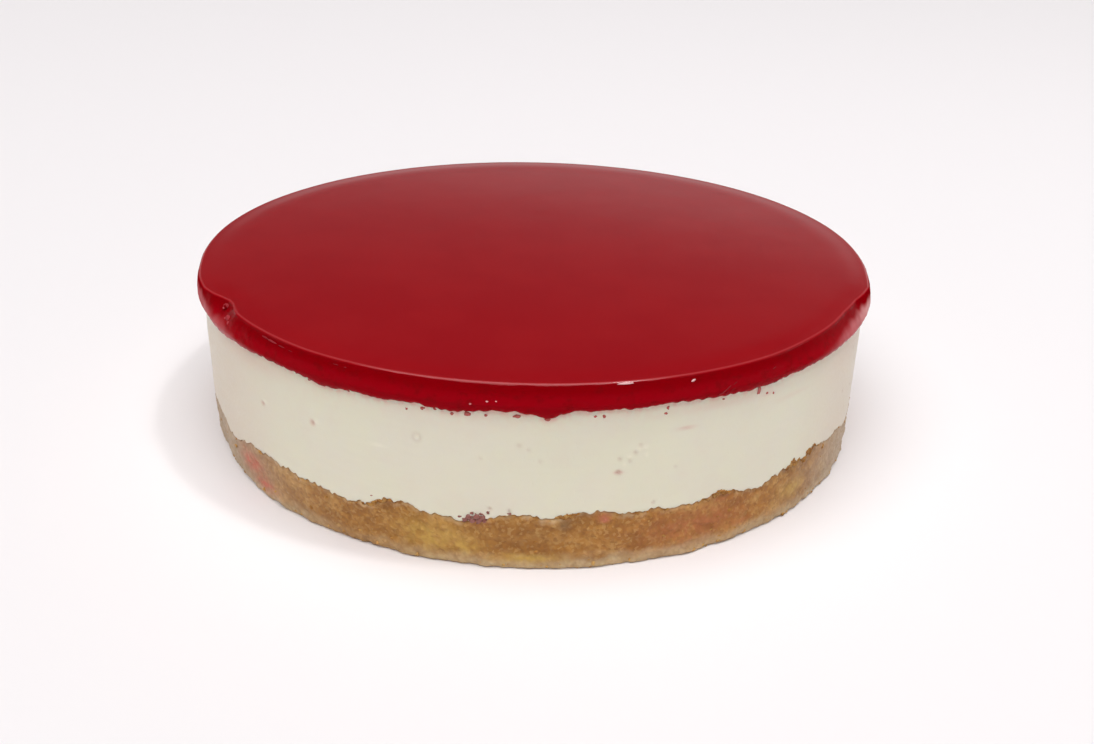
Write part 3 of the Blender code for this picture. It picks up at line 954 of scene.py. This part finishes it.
# The jelly's side: depth below the top, radius
SIDE_OUTLINE = in_metres(((0.0, 99.1), (1.15, 100.0), (2.6, 100.75), (4.4, 101.35), (5.3, 101.6)), 0, 1)


def side_radius(height):
    depths, radii = zip(*SIDE_OUTLINE)
    return float(np.interp(CAKE_TOP - height, depths, radii))


def build_scuffs():
    """Bubbles and scuffs on the jelly's side, the bubbles in the rim's chip, and a pale bead on the rim as a
    painted glint; the pale ones carry painted highlights.
    """
    lumps, tones = [], []
    for azimuth, height, half_length, half_width, tilt, painted_glint in SCUFFS:
        reach = column_value(rim_reach(), azimuth) * 0.6
        place = place_on_side(azimuth, height, side_radius(height) + reach - 0.03 * MM)
        lumps.append((place, (0.12 * MM, half_length, half_width), tilt))
        tones.append(painted_glint)
    for azimuth, height, radius, half, painted_glint in CHIP_BUBBLES:
        lumps.append((place_on_side(azimuth, height, radius), (half * 0.7, half, half * 0.8), 0.0))
        tones.append(painted_glint)
    # A pale bead on the rim: a painted glint, beside the small lamp's own reflection there.
    bead = place_on_side(-77.6, CAKE_TOP - RIM_DIP - 0.50 * MM, 99.85 * MM)
    lumps.append((bead, (0.20 * MM, 2.0 * MM, 0.26 * MM), 0.0))
    return lump_mesh("jelly_scuffs_and_glints", lumps, 0.25, 6, tones + [1.0])


def glint_and_scuff_material():
    """Wet pink painted highlights, pale on the brighter bubbles and the rim's bead, dull red where the jelly
    is only scuffed and dark red at the lowest tone.
    """
    material, tree, shader = new_material("jelly_painted_glints")
    painted_glint = mark_of(tree, "tone")
    colour = mix_colours(tree, spread(tree, painted_glint, 0.0, 0.3), (0.160, 0.001, 0.003), (0.40, 0.050, 0.060))
    colour = mix_colours(tree, spread(tree, painted_glint, 0.3, 1.0), colour, (0.80, 0.46, 0.46))
    tree.links.new(colour, shader.inputs["Base Color"])
    tree.links.new(spread(tree, painted_glint, 0.6, 0.9, 0.0, 0.5), shader.inputs["Specular IOR Level"])
    shader.inputs["Roughness"].default_value = 0.22
    return material


def speck_material():
    """Jelly in a film so thin that the mousse lightens it."""
    material, tree, shader = new_material("thin_jelly")
    share = noise_of(tree, own_place(tree), 0.9 * MM, 2.0)
    colour = mix_colours(tree, share, (0.36, 0.020, 0.020), (0.58, 0.170, 0.130))
    tree.links.new(colour, shader.inputs["Base Color"])
    shader.inputs["Roughness"].default_value = 0.25
    return material


def base_radius(azimuth, height):
    """The solid base's own radius there."""
    column = base_side[round(azimuth % 360.0 * FACETS / 360.0) % FACETS]
    return float(np.interp(height, column[:, 0], column[:, 1]))


# Heaps of darker crumbs on the base's top line: azimuth, half width in degrees, height
CREST_HEAPS = in_metres((
    (-45.6, 0.9, 1.1),
    (-41.0, 0.8, 1.3),
    (-84.6, 0.8, 0.5),
    (-112.6, 1.2, 0.5),
    (-61.5, 1.0, 0.5),
    (37.0, 1.2, 0.9),
    (131.0, 1.0, 0.9),
), 2)


def build_loose_crumbs():
    """Crumbs that stand out of the base: along its top line, on its side and at its foot."""
    draw = random.Random(33)
    lumps, tones = [], []
    for index in range(560):
        azimuth = draw.uniform(-180.0, 180.0)
        top = column_value(crumb_line, azimuth)
        kind = index % 4
        if kind < 2:
            height = top - draw.uniform(-0.25, 0.6) * MM
        elif kind == 2:
            height = draw.uniform(0.35, 1.6) * MM
        else:
            height = draw.uniform(1.0 * MM, top)
        size = draw.uniform(0.25, 0.60) * MM
        radius = base_radius(azimuth, height) - draw.uniform(0.15, 0.35) * MM
        halves = (size * draw.uniform(0.5, 0.8), size * draw.uniform(0.7, 1.4), size * draw.uniform(0.6, 1.1))
        height = max(height, halves[2] * 1.7)
        lumps.append((place_on_side(azimuth, height, radius), halves, draw.uniform(-30.0, 30.0)))
        # Crumbs near the foot get light tones as painted light from the floor; the others are mid to dark.
        tones.append(draw.uniform(0.9, 1.2) if kind == 2 else draw.uniform(0.35, 0.85))
    for middle, half_width, heap in CREST_HEAPS:
        for _ in range(26):
            azimuth = draw.gauss(middle, half_width)
            slope = math.exp(-(((azimuth - middle) / half_width) ** 2))
            height = column_value(crumb_line, azimuth) + draw.uniform(-0.5 * MM, heap * slope)
            size = draw.uniform(0.30, 0.55) * MM
            place = place_on_side(azimuth, height, MOUSSE_RADIUS - 0.12 * MM)
            lumps.append((place, (size * 0.6, size * 1.2, size * 0.9), draw.uniform(-30.0, 30.0)))
            tones.append(draw.uniform(0.0, 0.6))
    return lump_mesh("pressed_crumbs", lumps, 0.9, 8, tones)


# Bits of berry in the base's top line: azimuth, height, half size
BERRY_BITS = in_metres((
    (-99.3, 13.9, 0.70),
    (-98.7, 14.7, 0.90),
    (-98.2, 13.9, 0.90),
    (-97.6, 15.1, 1.00),
    (-97.3, 14.0, 0.90),
    (-96.7, 14.8, 0.80),
    (-96.5, 13.8, 0.60),
    (-97.0, 15.9, 0.55),
    (-96.0, 16.4, 0.50),
    (-100.0, 14.6, 0.45),
    (-98.3, 15.9, 0.50),
    (-93.0, 16.4, 0.42),
    (-60.8, 15.8, 0.50),
    (-113.5, 15.9, 0.40),
    (61.0, 11.0, 0.70),
    (63.0, 10.2, 0.60),
), 1, 2)


def build_berry_bits():
    lumps = []
    for azimuth, height, half in BERRY_BITS:
        top = column_value(crumb_line, azimuth)
        radius = MOUSSE_RADIUS if height > top - 0.4 * MM else base_radius(azimuth, height)
        place = place_on_side(azimuth, height, radius - 0.10 * MM)
        lumps.append((place, (half * 0.6, half, half * 0.8), 20.0))
    return lump_mesh("berry_bits", lumps, 0.9, 14)


def berry_material():
    material, tree, shader = new_material("berry_skin")
    place = own_place(tree)
    share = noise_of(tree, place, 1.2 * MM, 2.0)
    colour = mix_colours(tree, share, (0.17, 0.045, 0.042), (0.36, 0.140, 0.100))
    tree.links.new(colour, shader.inputs["Base Color"])
    shader.inputs["Roughness"].default_value = 0.35
    return material


# Stage, light and camera

FLOOR_SIZE = 60.0


def build_floor():
    bpy.ops.mesh.primitive_plane_add(size=FLOOR_SIZE, location=(0.0, 0.0, 0.0))
    floor = bpy.context.object
    floor.name = "floor"
    material, _, shader = new_material("pale_floor")
    shader.inputs["Base Color"].default_value = (0.84, 0.805, 0.815, 1.0)
    shader.inputs["Roughness"].default_value = 0.9
    shader.inputs["Specular IOR Level"].default_value = 0.1
    floor.data.materials.append(material)


# Brightness of the surroundings behind the cake, by the sine of the height above the horizon
SKY_LEVELS = ((0.0, 0.62), (0.20, 0.52), (0.25, 0.40), (0.30, 0.130), (0.40, 0.050), (0.60, 0.045))


def build_world():
    """Soft surroundings: light near the horizon behind the cake, darker overhead and in front."""
    world = bpy.data.worlds.new("studio")
    bpy.context.scene.world = world
    world.use_nodes = True
    tree = world.node_tree
    background = tree.nodes["Background"]
    direction = put(tree, "ShaderNodeTexCoord").outputs["Generated"]
    parts = put(tree, "ShaderNodeSeparateXYZ", Vector=direction)
    height = worked_out(tree, "MULTIPLY_ADD", parts.outputs["X"], -0.12, parts.outputs["Z"])
    ramp = put(tree, "ShaderNodeValToRGB", Fac=height)
    stops = ramp.color_ramp.elements
    for index, (position, level) in enumerate(SKY_LEVELS):
        stop = stops[index] if index < 2 else stops.new(position)
        stop.position = position
        stop.color = (level, level, level, 1.0)
    behind = spread(tree, parts.outputs["Y"], -0.4, 0.5, 0.12, 1.0)
    horizon = spread(tree, parts.outputs["Z"], 0.03, 0.12, 1.5, 0.0)
    behind = worked_out(tree, "MAXIMUM", behind, horizon)
    level = scaled(tree, ramp.outputs["Color"], behind)
    tree.links.new(level, background.inputs["Strength"])
    background.inputs["Color"].default_value = (1.0, 0.985, 0.985, 1.0)


def aim(thing, place, target=(0.0, 0.0, 0.03)):
    thing.location = place
    thing.rotation_euler = (Vector(target) - Vector(place)).to_track_quat("-Z", "Y").to_euler()


def build_lights():
    sky = bpy.data.objects.new("soft_top_light", bpy.data.lights.new("soft_top_light", "SUN"))
    sky.data.energy = 3.2
    sky.data.angle = math.radians(70.0)
    aim(sky, (-0.14, -0.6, 1.7), (0.0, 0.0, 0.0))
    spark = bpy.data.objects.new("small_light", bpy.data.lights.new("small_light", "AREA"))
    spark.data.shape = "DISK"
    spark.data.size = 0.12
    spark.data.energy = 3.0
    aim(spark, (0.40, -0.18, 1.25))
    for lamp in (sky, spark):
        bpy.context.scene.collection.objects.link(lamp)


def build_camera():
    """The photograph's camera: its place, its downward look and its slight roll."""
    back = Vector((0.0, -math.cos(CAMERA_ELEVATION), math.sin(CAMERA_ELEVATION)))
    place = Vector((0.0, 0.0, TARGET_HEIGHT)) + back * CAMERA_DISTANCE
    level = math.cos(LOOK_DOWN)
    ahead = Vector((math.sin(LOOK_ASIDE) * level, math.cos(LOOK_ASIDE) * level, -math.sin(LOOK_DOWN)))
    right = ahead.cross(Vector((0.0, 0.0, 1.0))).normalized()
    up = right.cross(ahead)
    rolled_right = right * math.cos(CAMERA_ROLL) + up * math.sin(CAMERA_ROLL)
    rolled_up = up * math.cos(CAMERA_ROLL) - right * math.sin(CAMERA_ROLL)
    camera = bpy.data.objects.new("camera", bpy.data.cameras.new("camera"))
    camera.data.sensor_width = SENSOR_WIDTH
    camera.data.lens = FOCAL_PIXELS / IMAGE_WIDTH * SENSOR_WIDTH
    camera.data.clip_start = 0.01
    facing = Matrix((rolled_right, rolled_up, -ahead)).transposed()
    camera.matrix_world = Matrix.Translation(place) @ facing.to_4x4()
    bpy.context.scene.collection.objects.link(camera)
    bpy.context.scene.camera = camera


build_camera()
build_floor()
build_world()
build_lights()
bpy.context.scene.view_settings.view_transform = "Standard"

crumbs = crumb_material()
skin = mousse_material()
jelly = jelly_material()
dress(build_base(), crumbs, "biscuit", "biscuit_base")
dress(build_mousse(), skin, "mousse", "yogurt_mousse")
dress(build_jelly(), jelly, "jelly", "red_jelly")
dress(build_specks(), speck_material(), "jelly")
dress(build_scuffs(), glint_and_scuff_material(), "jelly")
dress(build_loose_crumbs(), crumbs, "biscuit")
dress(build_berry_bits(), berry_material(), "jelly")
